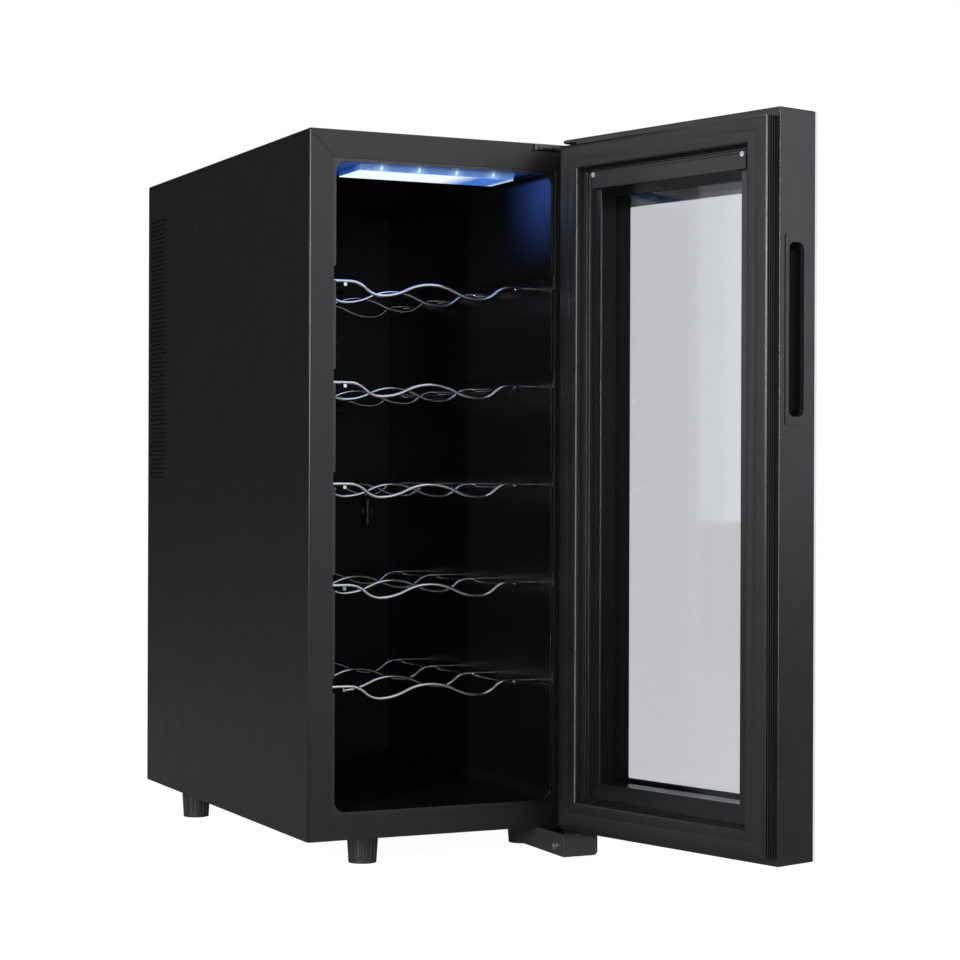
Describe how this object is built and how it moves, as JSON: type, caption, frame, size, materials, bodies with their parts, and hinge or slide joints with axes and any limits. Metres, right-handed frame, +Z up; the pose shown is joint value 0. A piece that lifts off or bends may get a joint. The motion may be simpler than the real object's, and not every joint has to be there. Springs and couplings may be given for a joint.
{
  "type": "wine cooler",
  "caption": "Tall free-standing thermoelectric wine cooler with wavy wire shelves, a ceiling lamp and a side-hinged glass door that stands open.",
  "frame": {"origin": "on the floor under the centre of the cabinet's footprint", "axes": "+Z up, the cabinet's front faces -Y, the door's hinge is on the +X side"},
  "size_m": [0.3416, 0.7388, 0.638],
  "materials": {
    "cabinet_paint": "satin",
    "liner_plastic": "satin",
    "foam": "matte",
    "bare_steel": "satin",
    "rear_paint": "matte",
    "aluminium": "satin",
    "spacer_polymer": "satin",
    "module_white": "matte",
    "fan_plastic": "matte",
    "board": "satin",
    "lamp_lens": "satin",
    "chrome_wire": "polished",
    "foot_plastic": "matte",
    "polished_steel": "polished",
    "hinge_cover_plastic": "satin",
    "gland_rubber": "matte",
    "sensor_plastic": "satin",
    "door_plastic": "satin",
    "retainer_plastic": "gloss",
    "gasket_rubber": "satin",
    "outer_glass": "gloss",
    "inner_glass": "gloss",
    "bush_plastic": "matte"
  },
  "bodies": {
    "cabinet": {"outer_wrap": "cabinet_paint", "bottom_pan": "cabinet_paint", "inner_liner": "liner_plastic", "cold_fan_cover": "liner_plastic", "insulation_foam": "foam", "bulkhead_plate": "bare_steel", "foot_nuts": "bare_steel", "bottom_hinge_bolts": "bare_steel", "rear_cover_screws": "bare_steel", "top_hinge_pin": "bare_steel", "bottom_hinge_pin": "bare_steel", "bottom_hinge_bracket": "bare_steel", "rear_cover": "rear_paint", "cold_heat_sink": "aluminium", "thermal_block": "aluminium", "hot_heat_sink": "aluminium", "peltier_module": "module_white", "cold_fan_frame": "fan_plastic", "hot_fan_frame": "fan_plastic", "power_board": "board", "led_board": "board", "lamp_lens": "lamp_lens", "top_hinge_bracket": "polished_steel", "top_hinge_screws": "polished_steel", "hinge_cover_screw": "polished_steel", "bottom_hinge_cover": "hinge_cover_plastic", "cord_gland": "gland_rubber", "temperature_sensor": "sensor_plastic"},
    "door": {"glass_spacer": "spacer_polymer", "control_board": "board", "control_cover_screws": "polished_steel", "door_frame": "door_plastic", "control_cover": "door_plastic", "handle_insert": "door_plastic", "door_inner_frame": "retainer_plastic", "door_gasket": "gasket_rubber", "door_glass_outer": "outer_glass", "door_glass_inner": "inner_glass", "hinge_bush_bottom": "bush_plastic", "hinge_bush_top": "bush_plastic"},
    "wire_shelf_1": {"wire_shelf_1": "chrome_wire"},
    "wire_shelf_2": {"wire_shelf_2": "chrome_wire"},
    "wire_shelf_3": {"wire_shelf_3": "chrome_wire"},
    "wire_shelf_4": {"wire_shelf_4": "chrome_wire"},
    "wire_shelf_5": {"wire_shelf_5": "chrome_wire"},
    "cold_fan_rotor": {"cold_fan_rotor": "fan_plastic"},
    "hot_fan_rotor": {"hot_fan_rotor": "fan_plastic"},
    "levelling_front_left": {"foot_front_left": "foot_plastic", "foot_stud_front_left": "bare_steel"},
    "levelling_front_right": {"foot_front_right": "foot_plastic", "foot_stud_front_right": "bare_steel"},
    "levelling_rear_left": {"foot_rear_left": "foot_plastic", "foot_stud_rear_left": "bare_steel"},
    "levelling_rear_right": {"foot_rear_right": "foot_plastic", "foot_stud_rear_right": "bare_steel"}
  },
  "joints": [
    {"name": "door_hinge", "type": "hinge", "parent": "cabinet", "child": "door", "pos_m": [0.123, -0.2565, 0], "axis": [0, 0, 1], "range_deg": [-105.2, 14.8]},
    {"name": "shelf_1_slide", "type": "slide", "parent": "cabinet", "child": "wire_shelf_1", "axis": [0, -1, 0], "range_m": [0, 0.05]},
    {"name": "shelf_2_slide", "type": "slide", "parent": "cabinet", "child": "wire_shelf_2", "axis": [0, -1, 0], "range_m": [0, 0.05]},
    {"name": "shelf_3_slide", "type": "slide", "parent": "cabinet", "child": "wire_shelf_3", "axis": [0, -1, 0], "range_m": [0, 0.05]},
    {"name": "shelf_4_slide", "type": "slide", "parent": "cabinet", "child": "wire_shelf_4", "axis": [0, -1, 0], "range_m": [0, 0.05]},
    {"name": "shelf_5_slide", "type": "slide", "parent": "cabinet", "child": "wire_shelf_5", "axis": [0, -1, 0], "range_m": [0, 0.05]},
    {"name": "cold_fan_spin", "type": "hinge", "parent": "cabinet", "child": "cold_fan_rotor", "pos_m": [0, 0.126, 0.47], "axis": [0, 1, 0], "continuous": true},
    {"name": "hot_fan_spin", "type": "hinge", "parent": "cabinet", "child": "hot_fan_rotor", "pos_m": [0, 0.213, 0.47], "axis": [0, 1, 0], "continuous": true},
    {"name": "foot_front_left_height", "type": "slide", "parent": "cabinet", "child": "levelling_front_left", "axis": [0, 0, 1], "range_m": [-0.01, 0]},
    {"name": "foot_front_right_height", "type": "slide", "parent": "cabinet", "child": "levelling_front_right", "axis": [0, 0, 1], "range_m": [-0.01, 0]},
    {"name": "foot_rear_left_height", "type": "slide", "parent": "cabinet", "child": "levelling_rear_left", "axis": [0, 0, 1], "range_m": [-0.01, 0]},
    {"name": "foot_rear_right_height", "type": "slide", "parent": "cabinet", "child": "levelling_rear_right", "axis": [0, 0, 1], "range_m": [-0.01, 0]}
  ]
}
